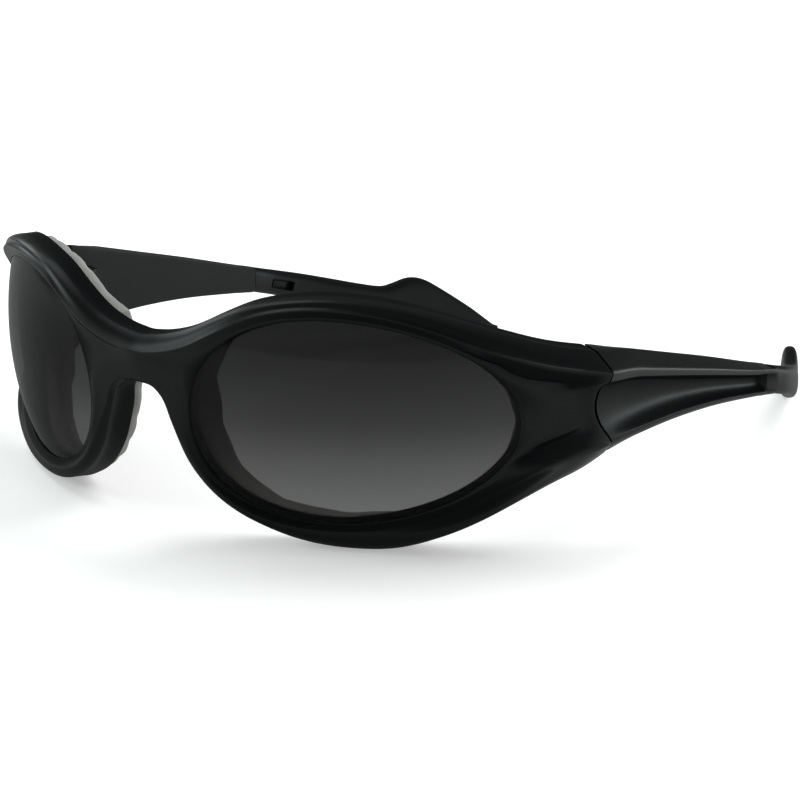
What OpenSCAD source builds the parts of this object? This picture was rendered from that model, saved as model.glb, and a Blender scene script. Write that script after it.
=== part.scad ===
// Foam-lined wraparound riding glasses, standing open on a table.
// X runs across the face, +Y runs back along the temples, +Z is up, and the
// origin is on the table under the middle of the glasses.
// The front is drawn on a ball round each eye: a place on it is a pair of
// angles (a sideways, b upwards) and a height h above the lens surface.

/* [Lens] */
// Radius of the ball that each lens is cut from
lens_r = 64.1; // [62:0.1:68]
// Width of the visible lens, measured along its curve
lens_w = 63.3; // [60:0.1:66]
// Height of the visible lens, measured along its curve
lens_h = 39.1; // [36:0.1:42]
// Thickness of the lens
lens_t = 2; // [1.6:0.1:2.2]
// From the ball's front line to the nose edge of the lens
lens_nose = 3.7; // [3:0.1:5]
// How far the middle of the lens lies below the ball's middle
lens_low = 4.8; // [3.5:0.1:6]
// How far the lens edge reaches into the rim's groove
lens_lap = 1; // [0.6:0.1:1.2]
// Clearance round the lens in its groove
lens_gap = 0.08; // [0.05:0.01:0.15]

/* [Front] */
// Sideways place of each ball's middle
ball_x = 9.1; // [8:0.1:10.5]
// Angle on the ball at which the smooth bridge begins
bridge_a = 4.4; // [3:0.1:6]
// Run of the sloping wall between the lens level and a ridge
wall_run = 3.6; // [2.5:0.1:4.5]
// Width of the raised strip between the lens panel and the seam
strip_w = 1.9; // [1.4:0.1:2.6]
// Depth of the fine groove above the brow ridge
brow_groove = 0.6; // [0.2:0.05:0.8]
// Depth of the scoop along the sides of the nose
nose_scoop = 0.8; // [0.3:0.1:1.2]
// Plastic behind the lens groove
lip_t = 1.1; // [0.8:0.1:1.5]

/* [Foam] */
// Thickness of the foam ring
foam_t = 3.6; // [3:0.1:5]
// Greatest width of the foam ring
foam_w = 6.2; // [5:0.1:8]
// How far the foam's outer edge lies inside the rim's back edge
foam_inset = 1.2; // [0.5:0.1:1.6]
// Depth of the scallops round the foam's edge
scallop = 0.5; // [0.3:0.1:1]
// Number of scallops round one eye
scallops = 24; // [16:1:28]
// Glue line between the foam and the frame
glue_t = 0.2; // [0.1:0.05:0.3]

/* [Hinge] */
// Radius of the hinge barrel
barrel_r = 2.2; // [2:0.1:2.6]
// Height of the temple's knuckle
knuckle_h = 3.6; // [3:0.1:4.5]
// Height of each of the frame's two ears
ear_h = 2.8; // [2.2:0.1:3.2]
// Clearance between the knuckle and each ear
ear_gap = 0.1; // [0.05:0.05:0.2]
// Radius of the hinge screw's shank
screw_r = 0.75; // [0.6:0.05:0.9]
// Radial running clearance round the shank
screw_gap = 0.05; // [0.03:0.01:0.08]
// Radius of the screw's head
screw_head_r = 1.35; // [1.2:0.05:1.5]
// Height of the screw's head
screw_head_h = 0.8; // [0.6:0.1:1]
// Lean of the hinge axis, its top end backwards
hinge_lean = 9; // [6:0.5:12]
// Gap at the seam between the front and a temple
seam_gap = 0.35; // [0.25:0.05:0.5]

/* [Temple] */
// Length of the arm from the hinge axis to the tip's seam
arm_len = 57; // [54:0.5:62]
// Length of the tip along the table, from its seam
tip_len = 53.4; // [50:0.2:56]
// Length of the tang inside the tip
tang_len = 10; // [9.5:0.5:11]
// Height of the tang
tang_h = 3.4; // [3:0.1:3.8]
// Thickness of the tang
tang_t = 1.6; // [1.4:0.1:1.8]
// Clearance round the tang in its socket
tang_gap = 0.08; // [0.05:0.01:0.12]
// Seam between the arm and the tip
tip_gap = 0.15; // [0.1:0.05:0.3]
// How much further forward that seam lies on the inner face
tip_slant = 2.4; // [1:0.1:3]
// Width of the snap window in the tip
snap_w = 6; // [4:0.5:6.5]
// Height of the snap window in the tip
snap_h = 2.2; // [1.8:0.1:2.6]

/* [Hidden] */
$fn = 48;

black = [0.12, 0.13, 0.14];
smoke = [0.28, 0.28, 0.29, 0.8];
foam_grey = [0.66, 0.64, 0.6];
steel = [0.7, 0.71, 0.73];

// Small helpers
function mix(p, q, k) = p * (1 - k) + q * k;
function unit(v) = v / norm(v);
function deg(mm) = mm / lens_r * 180 / PI;
function bump(t, middle, reach) =
  let (k = min(1, abs(t - middle) / reach)) 0.5 + 0.5 * cos(180 * k);
function curve(p, q, r, s, k) = 0.5 * (2 * q + (r - p) * k
  + (2 * p - 5 * q + 4 * r - s) * k * k + (3 * q - p - 3 * r + s) * k * k * k);
// A smooth curve through rows of numbers, n steps from row to row
function smooth(rows, n) = let (last = len(rows) - 1) concat(
  [for (i = [0:last - 1], m = [0:n - 1]) curve(
    i > 0 ? rows[i - 1] : 2 * rows[0] - rows[1], rows[i], rows[i + 1],
    i < last - 1 ? rows[i + 2] : 2 * rows[last] - rows[last - 1], m / n)],
  [rows[last]]);

// The ball, and the smooth cap that joins both balls at the bridge
cap_x = ball_x + lens_r * sin(bridge_a);
mid_a = bridge_a - cap_x / (lens_r * cos(bridge_a)) * 180 / PI;
function share(a) = (a - mid_a) / (bridge_a - mid_a);
function turn(a) = a < bridge_a ? bridge_a * share(a) : a;
function cap(b, k) = let (x = ball_x + lens_r * sin(bridge_a) * cos(b))
  [x * k, -lens_r * cos(bridge_a) * cos(b) - tan(bridge_a) / 2 * x * (1 - k * k)];
function ball(ab, h) = let (a = ab[0], b = ab[1], r = lens_r + h)
  [ball_x + r * sin(a) * cos(b), -r * cos(a) * cos(b), r * sin(b)];
function face(a, b, h) = let (c = cap(b, share(a)), t = turn(a)) a < bridge_a
  ? [c.x + h * sin(t) * cos(b), c.y - h * cos(t) * cos(b), (lens_r + h) * sin(b)]
  : ball([a, b], h);
// Level direction straight away from the face surface, towards the wearer
function back(a) = [-sin(turn(a)), cos(turn(a)), 0];
// Direction along the face surface, u sideways and v upwards
function along(a, b, u, v) = let (t = turn(a))
  [u * cos(t) - v * sin(t) * sin(b), u * sin(t) + v * cos(t) * sin(b), v * cos(b)];

// Edge of the visible lens at angle t round the eye, moved outwards by out
lens_point = deg(2.6);
lens_tilt = deg(0.22);
function window(t, out = 0) = let (
  w = deg(lens_w / 2), h = deg(lens_h / 2),
  p = [deg(lens_nose) + w - lens_point + w * cos(t) + lens_point * cos(2 * t),
    h * sin(t) + lens_tilt * (sin(2 * t) - cos(2 * t)) - deg(lens_low)],
  n = unit([h * cos(t) + 2 * lens_tilt * (cos(2 * t) + sin(2 * t)),
    w * sin(t) + 2 * lens_point * sin(2 * t)])) p + deg(out) * n;

// Guide rows round one eye, in millimetres and in this order: angle round the
// lens; ridge to the side of the lens edge, above it and proud of the lens;
// outer edge to the side of the ridge, above it and proud of the lens; how far
// behind the lens surface the back edge lies; how far it flares outwards; how
// far the band between ridge and outer edge swells.
// A ridge at the bridge lies in the middle plane whatever its first number.
brow_rows = [
  [20, 20.8, 0.8, 1.7, -2.0, 4.4, -1.0, 4.2, 0.8, 0.0],
  [26, 13.8, 0.4, 1.8, -0.4, 4.4, -0.8, 4.0, 0.6, 0.3],
  [32, 8.6, 0.5, 1.9, 0.2, 4.3, -0.6, 3.9, 0.5, 0.6],
  [42, 3.3, 1.3, 2.0, 1.1, 3.5, -0.5, 3.8, 0.4, 0.9],
  [54, 0.6, 1.9, 2.0, 1.3, 2.9, -0.4, 3.7, 0.3, 1.0],
  [68, -0.2, 2.0, 2.0, 1.0, 2.6, -0.4, 3.7, 0.3, 0.9],
  [84, -0.4, 1.9, 2.0, 0.5, 2.5, -0.4, 3.7, 0.3, 0.7],
  [100, -0.5, 1.8, 1.9, -0.2, 2.4, -0.4, 3.7, 0.3, 0.6],
  [114, -1.0, 1.6, 1.8, -1.0, 2.5, -0.4, 3.8, 0.3, 0.5],
  [126, -2.5, 0.8, 1.7, -1.5, 2.6, -0.4, 3.9, 0.3, 0.5],
  [138, -5.6, 0.0, 1.6, -1.4, 2.9, -0.5, 4.1, 0.3, 0.5],
  [146, -10.3, 0.1, 1.5, -0.8, 3.1, -0.6, 4.3, 0.3, 0.4],
  [152, -15.4, 1.0, 1.5, 0.0, 3.2, -0.7, 4.5, 0.3, 0.4]];
bridge_rows = [
  brow_rows[12],
  [158, -14.4, 0.5, 1.0, 0.0, 0.1, -0.7, 4.7, 0.0, 0.2],
  [165, -13.6, 0.1, 0.4, 0.0, -1.0, -0.7, 5.0, 0.0, 0.2]];
rim_rows = [
  bridge_rows[2],
  [169, -9.4, 0.9, 0.4, -0.3, -0.9, -0.7, 5.3, 0.0, 0.2],
  [174, -6.1, 0.0, 0.4, -0.6, -0.4, -0.7, 5.7, 0.1, 0.2],
  [182, -4.5, -1.0, 0.4, -0.7, -0.2, -0.7, 6.2, 0.3, 0.2],
  [192, -2.9, -1.0, 0.7, -1.2, -0.8, -0.4, 6.0, 0.4, 0.3],
  [204, -1.7, -1.2, 1.0, -1.7, -1.3, -0.2, 5.6, 0.4, 0.4],
  [218, -1.1, -1.4, 1.2, -1.3, -1.8, -0.1, 5.2, 0.4, 0.5],
  [232, -0.7, -1.4, 1.3, -0.9, -2.1, 0.0, 5.0, 0.3, 0.6],
  [246, -0.3, -1.3, 1.3, -0.6, -2.7, -0.1, 4.8, 0.2, 0.8],
  [262, 0.0, -1.1, 1.3, -0.4, -4.0, -0.1, 4.6, 0.2, 1.0],
  [278, 0.1, -1.1, 1.3, 0.0, -4.7, 0.2, 4.5, 0.2, 1.2],
  [292, 0.4, -1.2, 1.4, 0.8, -4.9, 0.8, 4.4, 0.2, 1.5],
  [304, 0.9, -1.3, 1.5, 1.4, -4.1, 1.0, 4.3, 0.2, 1.9],
  [316, 1.9, -1.1, 1.6, 1.7, -3.4, 1.2, 4.3, 0.3, 2.2],
  [326, 4.0, -0.7, 1.7, 1.8, -3.1, 1.2, 4.2, 0.4, 2.0],
  [334, 8.5, 0.1, 1.7, 1.9, -3.4, 0.9, 4.2, 0.4, 1.3],
  [340, 14.5, 0.0, 1.7, 1.4, -3.3, 0.4, 4.2, 0.3, 0.5],
  [344, 20.6, 0.1, 1.7, 0.6, -2.6, -0.3, 4.2, 0.2, 0.0]];
seam_rows = [
  rim_rows[17],
  [350, 18.9, -0.7, 1.3, 0, 0, 0, 4.2, 0, 0],
  [356, 16.5, -0.5, 0.8, 0, 0, 0, 4.2, 0, 0],
  [362, 15.1, 0.1, 0.6, 0, 0, 0, 4.2, 0, 0],
  [368, 15.4, 0.6, 0.6, 0, 0, 0, 4.2, 0, 0],
  [373, 17.1, 1.2, 0.8, 0, 0, 0, 4.2, 0, 0],
  [377, 19.5, 0.4, 1.4, 0, 0, 0, 4.2, 0, 0],
  brow_rows[0] + [360, 0, 0, 0, 0, 0, 0, 0, 0, 0]];

function open(rows, n) = let (all = smooth(rows, n)) [for (i = [0:len(all) - 2]) all[i]];
// The rim's last row before the seam
low_end = rim_rows[17][0];
// All rows round one eye, each with its stretch: 0 rim, 1 bridge, 2 seam
function round_eye(brow_n, bridge_n, rim_n, seam_n) = concat(
  [for (r = open(brow_rows, brow_n)) [r, 0]],
  [for (r = open(bridge_rows, bridge_n)) [r, 1]],
  [for (r = open(rim_rows, rim_n)) [r, 0]],
  [for (r = open(seam_rows, seam_n)) [r, r[0] > low_end ? 2 : 0]]);

// Middle-plane rows are the bridge's own, with the corner row that follows
function at_bridge(r) = r[0] >= 152 && r[0] <= 165;
function ridge(r) = let (w = window(r[0]))
  [at_bridge(r) ? mid_a : w[0] + deg(r[1]), w[1] + deg(r[2])];
function edge(r) = let (c = ridge(r)) [at_bridge(r) ? mid_a : c[0] + deg(r[4]), c[1] + deg(r[5])];
function on(ab, h) = face(ab[0], ab[1], h);
// Point on the wall behind the outer edge, k from the front to the back edge
function wall(r, k, out) = let (e = edge(r), n = unit([r[4], r[5]]),
  u = at_bridge(r) ? 0 : n[0])
  on(e, r[6]) + back(e[0]) * (r[6] + r[7]) * k + along(e[0], e[1], u, n[1]) * out;
// Point on the seam's end wall or on the bridge's middle plane
function end_wall(r, k) = let (c = ridge(r)) on(c, r[3]) + back(c[0]) * (r[3] + r[7]) * k;

// Number of points round one cross-section of the rim
section_n = 18;
function rim_point(r, kind, j) = let (
  t = r[0], w = window(t), c = ridge(r), e = edge(r),
  nose = bump(t, 190, 60), brow = bump(t, 84, 66),
  strip = kind == 2 ? bump(t, 364, 14) : 0,
  corners = 1 + 4 * bump(t, 344, 18) + 2 * bump(t, t > 200 ? 382 : 22, 16),
  run = norm(c - w),
  foot = max(run - deg(mix(wall_run * corners, strip_w, strip)), (0.3 - 0.22 * bump(t, 340, 18)) * run),
  far = run > 0 ? 1 / run : 0)
  j == 0 ? ball(w, lens_gap) :
  j == 1 ? on(mix(w, c, mix(0.5 * foot, deg(0.5), nose) * far), mix(0.12, 0.55 * r[3], nose)) :
  j == 2 ? on(mix(w, c, mix(foot, deg(1.5), nose) * far), mix(0.15, 0.95 * r[3], nose)) :
  j == 3 ? on(mix(w, c, mix(mix(foot, run, mix(0.45, 0.2, strip)), mix(deg(1.5), run, 0.5), nose) * far),
    mix(mix(0.5, 0.9, strip), 1, nose) * r[3]) :
  j == 4 ? on(mix(w, c, mix(mix(foot, run, mix(0.86, 0.6, strip)), mix(deg(1.5), run, 0.85), nose) * far),
    mix(mix(0.92, 1, strip), 1, nose) * r[3]) :
  j == 5 ? on(c, r[3]) :
  j <= 8 && kind == 2 ? end_wall(r, (j - 5) / 7) :
  j == 6 ? on(mix(c, e, 0.24), mix(r[3], r[6], 0.24) + 0.6 * r[9] - brow_groove * brow) :
  j == 7 ? on(mix(c, e, 0.52), mix(r[3], r[6], 0.52) + r[9]) :
  j == 8 ? on(mix(c, e, 0.82), mix(r[3], r[6], 0.82) + 0.75 * r[9]) :
  kind == 2 && j <= 12 ? end_wall(r, (j - 5) / 7) :
  j == 9 ? wall(r, 0, 0) :
  j == 10 ? wall(r, 0.35, 0.2 * r[8] - nose_scoop * nose) :
  j == 11 ? wall(r, 0.7, 0.6 * r[8] - 0.6 * nose_scoop * nose) :
  j == 12 ? wall(r, 1, r[8]) :
  j == 13 ? let (p = window(t, 1.6)) ball(p, 0) + back(p[0]) * r[7] :
  j == 14 ? ball(window(t, 0.4), -lens_t - lip_t) :
  j == 15 ? ball(w, -lens_t - lens_gap) :
  j == 16 ? ball(window(t, lens_lap + lens_gap), -lens_t - lens_gap) :
  ball(window(t, lens_lap + lens_gap), lens_gap);

rim = round_eye(2, 1, 2, 1);
rim_n = len(rim);
rim_points = [for (s = rim) [for (j = [0:section_n - 1]) rim_point(s[0], s[1], j)]];

// The glasses stand on the lobes of the rims
low = min([for (s = rim_points, p = s) p.z]);
front = min([for (s = rim_points, p = s) p.y]);

// Corner rows of the seam, top and bottom, and the row at its middle
seam_top = rim_points[0];
seam_low_i = rim_n - len(seam_rows) + 1;
seam_low = rim_points[seam_low_i];
seam_mid = rim_points[seam_low_i + 3];
hinge = seam_mid[12] + [-0.3, 4.8, 1.5];
arm_end = hinge + [2.6, arm_len, 0];

// Triangles between two rings of n points, ring i to ring k
function strip(i, k, j, n) = let (m = (j + 1) % n)
  [[i * n + j, k * n + j, k * n + m], [i * n + j, k * n + m, i * n + m]];
// A solid lofted through rings of points, with both ends closed
function cap_fan(base, n, flip) = [for (j = [1:n - 2]) flip
  ? [base, base + j + 1, base + j] : [base, base + j, base + j + 1]];
module loft(rings) {
  n = len(rings[0]);
  last = len(rings) - 1;
  polyhedron([for (ring = rings, p = ring) p], concat(
    [for (i = [0:last - 1], j = [0:n - 1], f = strip(i, i + 1, j, n)) f],
    cap_fan(0, n, false), cap_fan(last * n, n, true)), convexity = 6);
}
// A solid ring lofted all the way round
module ring_loft(rings) {
  n = len(rings[0]);
  count = len(rings);
  polyhedron([for (ring = rings, p = ring) p],
    [for (i = [0:count - 1], j = [0:n - 1], f = strip(i, (i + 1) % count, j, n)) f],
    convexity = 6);
}
module sides() {
  children();
  mirror([1, 0, 0]) children();
}

// Front: both rims as one moulding, joined across the middle plane
function in_plane(i, j) = at_bridge(rim[i][0]) && j >= 5 && j <= 12;
function corner(side, i, j) = (in_plane(i, j) ? 0 : side * rim_n * section_n) + i * section_n + j;
function quad(side, i, j) = let (
  k = (i + 1) % rim_n, m = (j + 1) % section_n,
  p = corner(side, i, j), q = corner(side, k, j),
  r = corner(side, k, m), s = corner(side, i, m),
  hidden = in_plane(i, j) && in_plane(k, j) && in_plane(i, m) && in_plane(k, m))
  hidden ? [] : side == 0 ? [[p, q, r], [p, r, s]] : [[r, q, p], [s, r, p]];
module moulding() {
  polyhedron(
    concat([for (s = rim_points, p = s) p], [for (s = rim_points, p = s) [-p.x, p.y, p.z]]),
    [for (side = [0, 1], i = [0:rim_n - 1], j = [0:section_n - 1], f = quad(side, i, j)) f],
    convexity = 8);
}

// Hinge parts stand on the leaning axis, with z = 0 at the knuckle's middle
module at_hinge() {
  translate(hinge) rotate([-hinge_lean, 0, 0]) children();
}
ear_z = knuckle_h / 2 + ear_gap;
module ear(z) {
  hull() {
    translate([0, 0, z]) cylinder(r = barrel_r, h = ear_h);
    translate([-1.4, -8, z]) cube([3.2, 2, ear_h]);
  }
}
module frame_front() {
  color(black) translate(stand) difference() {
    union() {
      moulding();
      sides() at_hinge() {
        ear(ear_z);
        ear(-ear_z - ear_h);
      }
    }
    sides() at_hinge() {
      cylinder(r = screw_r + screw_gap, h = ear_z + ear_h + 1);
      translate([0, 0, ear_z + ear_h - screw_head_h])
        cylinder(r = screw_head_r + screw_gap, h = 2);
      translate([0, 0, -ear_z - ear_h - 1]) cylinder(r = screw_r + 0.02, h = ear_h + 1.5);
    }
  }
}

// Lens: a piece of a ball's shell inside a cone through the lens outline
module lens_cone() {
  wide = 1.25;
  base = [for (s = rim) wide * (ball(window(s[0][0], lens_lap), 0) - [ball_x, 0, 0])];
  polyhedron(concat(base, [[0, 0, 0]]), concat(
    [for (i = [0:rim_n - 1]) [i, (i + 1) % rim_n, rim_n]], cap_fan(0, rim_n, true)));
}
module lens() {
  color(smoke) translate(stand + [ball_x, 0, 0]) intersection() {
    difference() {
      sphere(r = lens_r, $fn = 96);
      sphere(r = lens_r - lens_t, $fn = 96);
    }
    lens_cone();
  }
}

// Foam: a crowned ring on the back of the rim with a scalloped outer edge
foam_rows = round_eye(4, 2, 4, 2);
function foam_section(s) = let (
  r = s[0], t = r[0], inner = rim_point(r, s[1], 13), outer = rim_point(r, s[1], 12),
  room = norm(outer - inner), reach = min(foam_w, room - foam_inset),
  wave = scallop * (abs(sin(scallops / 2 * t)) - 0.6),
  b = back(window(t)[0]), d = (outer - inner) / room, k = foam_t + wave,
  p = inner + b * glue_t, q = p + d * reach)
  [p + d * 0.2, q, q + b * k * 0.4 + d * (0.3 + wave * 0.5), q + b * k * 0.8 + d * wave,
    mix(p, q, 0.66) + b * k, mix(p, q, 0.3) + b * foam_t, p + b * foam_t * 0.75 - d * 0.2,
    p + b * foam_t * 0.35];
module foam() {
  color(foam_grey) translate(stand) ring_loft([for (s = foam_rows) foam_section(s)]);
}

// Temple arm. Rows: share of the arm's length; heights above the hinge of the
// top, the upper ridge, the groove's upper and lower edge and the bottom;
// outer face beside the hinge; depth of the groove; inner face beside the hinge
arm_rows = [
  [0.09, 8.4, 4.8, 3.3, -6.6, -8.6, 6.2, 2.0, 1.1],
  [0.33, 4.8, 1.9, 0.6, -6.6, -8.3, 5.9, 2.2, 1.1],
  [0.59, 0.9, -1.3, -2.5, -7.5, -8.9, 5.4, 2.0, 1.0],
  [0.845, -3.2, -4.6, -5.6, -9.3, -10.4, 4.8, 1.6, 0.9],
  [0.912, -4.2, -5.3, -6.2, -9.9, -10.9, 4.7, 1.5, 0.9]];
groove_end = [0.925, -4.4, -5.5, -6.3, -10.0, -11.0, 4.6, 0.0, 0.9];
arm_last = [1, -5.6, -6.4, -7.1, -10.8, -11.7, 4.4, 0.0, 0.8];
function arm_ring(r) = let (
  y = hinge.y + r[0] * arm_len - tip_gap / 2, x = hinge.x + r[6], floor_x = x - r[7],
  inner_x = hinge.x + r[8], z = hinge.z,
  outer = [[x - 2.6, y, z + r[1]], [x - 1.1, y, z + mix(r[1], r[2], 0.6)], [x, y, z + r[2]],
    [x - 0.1, y, z + r[3]], [floor_x, y, z + r[3] - 0.5 * r[7]],
    [floor_x, y, z + mix(r[3], r[4], 0.4)], [floor_x, y, z + mix(r[3], r[4], 0.65)],
    [mix(floor_x, x, 0.3), y, z + mix(r[3], r[4], 0.85)], [x - 0.1, y, z + r[4]],
    [x, y, z + mix(r[4], r[5], 0.4)], [x - 0.5, y, z + mix(r[4], r[5], 0.85)],
    [x - 1.4, y, z + r[5]]],
  inner_top = z + r[1] - 0.3, inner_low = z + mix(r[5], r[4], 0.6),
  inner = [for (i = [11:-1:0]) let (k = (outer[i].z - z - r[5]) / (r[1] - r[5]))
    [inner_x, y, mix(inner_low, inner_top, k)]])
  concat(outer, inner);
// The arm's rear end is cut on a slant, further forward on the inner face
arm_fall = (groove_end[1] - arm_last[1]) / (arm_len * (arm_last[0] - groove_end[0]));
function slanted(ring, x, w) =
  [for (p = ring) let (s = tip_slant * ((p.x - x) / w - 1)) p + [0, s, -s * arm_fall]];
// The arm's front end follows the front's seam
function seam_ring() = let (
  gap = [0, seam_gap, 0],
  mid = [for (i = [6:-1:1]) rim_points[seam_low_i + i]],
  outer = concat([seam_top[9], seam_top[7], seam_top[5]], [for (s = mid) s[5]],
    [seam_low[5], seam_low[7], seam_low[9]]),
  inner = concat([seam_top[12], mix(seam_top[12], mid[0][12], 0.35),
    mix(seam_top[12], mid[0][12], 0.7)], [for (s = mid) s[12]],
    [mix(mid[5][12], seam_low[12], 0.3), mix(mid[5][12], seam_low[12], 0.65), seam_low[12]]))
  concat([for (p = outer) p + gap], [for (i = [11:-1:0]) inner[i] + gap]);
// Both ends are ladders of triangles from the outer to the inner chain
function ladder(base, flip) = [for (i = [0:10], f = [
  [base + i, base + i + 1, base + 22 - i], [base + i, base + 22 - i, base + 23 - i]])
  flip ? f : [f[2], f[1], f[0]]];
module arm_body() {
  rings = concat([seam_ring()], [for (r = smooth(arm_rows, 3)) arm_ring(r)],
    [arm_ring(groove_end),
      slanted(arm_ring(arm_last), hinge.x + arm_last[8], arm_last[6] - arm_last[8])]);
  last = len(rings) - 1;
  polyhedron([for (ring = rings, p = ring) p], concat(
    [for (i = [0:last - 1], j = [0:23], f = strip(i, i + 1, j, 24)) f],
    ladder(0, true), ladder(last * 24, false)), convexity = 6);
}
module temple() {
  color(black) translate(stand) difference() {
    union() {
      difference() {
        arm_body();
        at_hinge() for (z = [ear_z, -ear_z - ear_h]) translate([0, 0, z - ear_gap]) {
          cylinder(r = barrel_r + seam_gap, h = ear_h + 2 * ear_gap);
          translate([-4, -9, 0]) cube([4 + barrel_r + 0.1, 9, ear_h + 2 * ear_gap]);
        }
      }
      at_hinge() hull() {
        translate([0, 0, -knuckle_h / 2]) cylinder(r = barrel_r, h = knuckle_h);
        translate([2.2, -0.5, -knuckle_h / 2]) cube([1, 5, knuckle_h]);
      }
      at_tang() {
        tang(0);
        translate([-tang_t / 2 - 0.6, snap_y + 0.6, -snap_h / 2 + 0.3])
          cube([1, snap_w - 2, snap_h - 0.6]);
      }
    }
    at_hinge() translate([0, 0, -knuckle_h])
      cylinder(r = screw_r + screw_gap, h = 2 * knuckle_h);
  }
}

// Tip. Rows: share of the tip's length; how far it has bent inwards; heights
// of its top and bottom above the hinge; thickness
tip_rows = [
  [0.0, 0.0, -5.7, -11.6, 3.4],
  [0.1, 0.7, -7.1, -13.1, 3.7],
  [0.25, 3.9, -9.2, -15.7, 3.8],
  [0.43, 9.7, -12.0, -19.3, 3.7],
  [0.53, 12.9, -13.3, -21.2, 3.6],
  [0.58, 14.5, -12.8, -22.2, 3.6],
  [0.64, 16.5, -11.8, -23.4, 3.5],
  [0.7, 18.7, -12.6, -24.6, 3.4],
  [0.78, 21.6, -16.0, -26.1, 3.2],
  [0.87, 24.9, -20.6, -27.6, 3.0],
  [0.93, 27.0, -24.3, -28.2, 2.8],
  [0.965, 28.1, -26.6, -28.3, 2.3],
  [0.985, 28.7, -27.5, -28.2, 1.6]];
tip_floor = low - hinge.z;
tip_steps = smooth(tip_rows, 2);
// The rear of the tip settles on the table, with a small flat under it
tip_drop = tip_floor - 0.15 - min([for (r = tip_steps) r[3]]);
function settle(r, k) = tip_drop * pow(r[0] / 0.95, k);

// The tang and its snap lie along the first stretch of the tip
tip_line = [for (r = tip_steps) [r[0] * tip_len, (r[2] + r[3]) / 2]];
tip_bend = [for (r = tip_steps) [r[0] * tip_len, r[1]]];
tang_z = lookup(0, tip_line);
tang_drop = atan((tang_z - lookup(tang_len, tip_line)) / tang_len);
tang_turn = 0.8 * atan(lookup(tang_len, tip_bend) / tang_len);
module at_tang() {
  translate(arm_end + [0, 0, tang_z]) rotate([-tang_drop, 0, tang_turn]) children();
}
module tang(gap) {
  translate([-tang_t / 2 - gap, -2, -tang_h / 2 - gap])
    cube([tang_t + 2 * gap, tang_len + 2 + gap, tang_h + 2 * gap]);
}
snap_y = 3.4;
module snap(gap) {
  translate([-tang_t / 2 - 1 - gap, snap_y - gap, -snap_h / 2 - gap])
    cube([1.5 + gap, snap_w + 2 * gap, snap_h + 2 * gap]);
}

tip_n = 14;
function squared(v) = sign(v) * pow(abs(v), 0.65);
function tip_ring(i) = let (
  r = tip_steps[i], before = tip_steps[max(0, i - 1)],
  after = tip_steps[min(len(tip_steps) - 1, i + 1)],
  go = i == 0 ? [0, 1, 0] : unit([before[1] - after[1], (after[0] - before[0]) * tip_len, 0]),
  side = [go.y, -go.x, 0], top = r[2] + settle(r, 8), bottom = max(tip_floor, r[3] + settle(r, 3)),
  middle = [arm_end.x - r[1], arm_end.y + tip_gap / 2 + r[0] * tip_len, hinge.z + (top + bottom) / 2])
  [for (k = [0:tip_n - 1]) let (t = 90 - (k + 0.5) * 360 / tip_n) middle
    + side * r[4] / 2 * squared(cos(t)) + [0, 0, (top - bottom) / 2 * squared(sin(t))]];

// Everything stands on the table with its middle over the origin
rear = max([for (p = tip_ring(len(tip_steps) - 1)) p.y]);
stand = [0, -(front + rear) / 2, -low];

module tip_body() {
  w = tip_rows[0][4];
  loft(concat([slanted(tip_ring(0), arm_end.x - w / 2, w)],
    [for (i = [1:len(tip_steps) - 1]) tip_ring(i)]));
}
module temple_tip() {
  color(black) translate(stand) difference() {
    tip_body();
    at_tang() {
      tang(tang_gap);
      snap(0);
      translate([-4, snap_y, -snap_h / 2]) cube([4, snap_w, snap_h]);
    }
  }
}

// Screw: head, shank and a driving slot
module hinge_screw() {
  color(steel) translate(stand) at_hinge() difference() {
    union() {
      translate([0, 0, -ear_z - ear_h + 0.2]) cylinder(r = screw_r, h = 2 * (ear_z + ear_h) - 0.7);
      translate([0, 0, ear_z + ear_h - screw_head_h + 0.05])
        cylinder(r = screw_head_r, h = screw_head_h - 0.15);
    }
    translate([-2, -0.15, ear_z + ear_h - 0.45]) cube([4, 0.3, 1]);
  }
}

frame_front();
lens();  // lens_left
mirror([1, 0, 0]) lens();  // lens_right
foam();  // foam_left
mirror([1, 0, 0]) foam();  // foam_right
temple();  // temple_left
mirror([1, 0, 0]) temple();  // temple_right
temple_tip();  // temple_tip_left
mirror([1, 0, 0]) temple_tip();  // temple_tip_right
hinge_screw();  // hinge_screw_left
mirror([1, 0, 0]) hinge_screw();  // hinge_screw_right
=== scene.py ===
"""Looks of the foam-lined wraparound riding glasses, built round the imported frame."""
import math

import bmesh
import bpy
import numpy as np
from mathutils import Matrix, Vector


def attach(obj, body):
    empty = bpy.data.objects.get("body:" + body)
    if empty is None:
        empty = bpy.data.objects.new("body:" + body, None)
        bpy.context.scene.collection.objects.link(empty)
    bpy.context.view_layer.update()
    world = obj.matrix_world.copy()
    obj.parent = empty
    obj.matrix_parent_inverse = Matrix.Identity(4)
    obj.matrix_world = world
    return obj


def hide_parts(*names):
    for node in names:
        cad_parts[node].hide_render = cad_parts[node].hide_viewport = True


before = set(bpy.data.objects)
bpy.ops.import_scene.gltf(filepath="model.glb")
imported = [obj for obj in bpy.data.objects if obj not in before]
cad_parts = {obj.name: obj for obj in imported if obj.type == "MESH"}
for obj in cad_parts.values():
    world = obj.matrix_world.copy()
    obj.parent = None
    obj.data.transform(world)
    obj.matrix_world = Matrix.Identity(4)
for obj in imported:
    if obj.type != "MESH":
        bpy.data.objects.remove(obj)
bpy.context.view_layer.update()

# ---------------------------------------------------------------- sizes, in mm
LENS_R = 64.1
LENS_W, LENS_H, LENS_T = 63.3, 39.1, 2.0
LENS_NOSE, LENS_LOW, LENS_POINT, LENS_TILT = 3.7, 4.8, 2.6, 0.22
LENS_LAP, LENS_GAP = 1.0, 0.08
BALL_X, BRIDGE_A = 9.1, 4.4
WALL_RUN, STRIP_W, BROW_GROOVE, NOSE_SCOOP, LIP_T = 3.6, 1.9, 0.6, 0.8, 1.1
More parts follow.
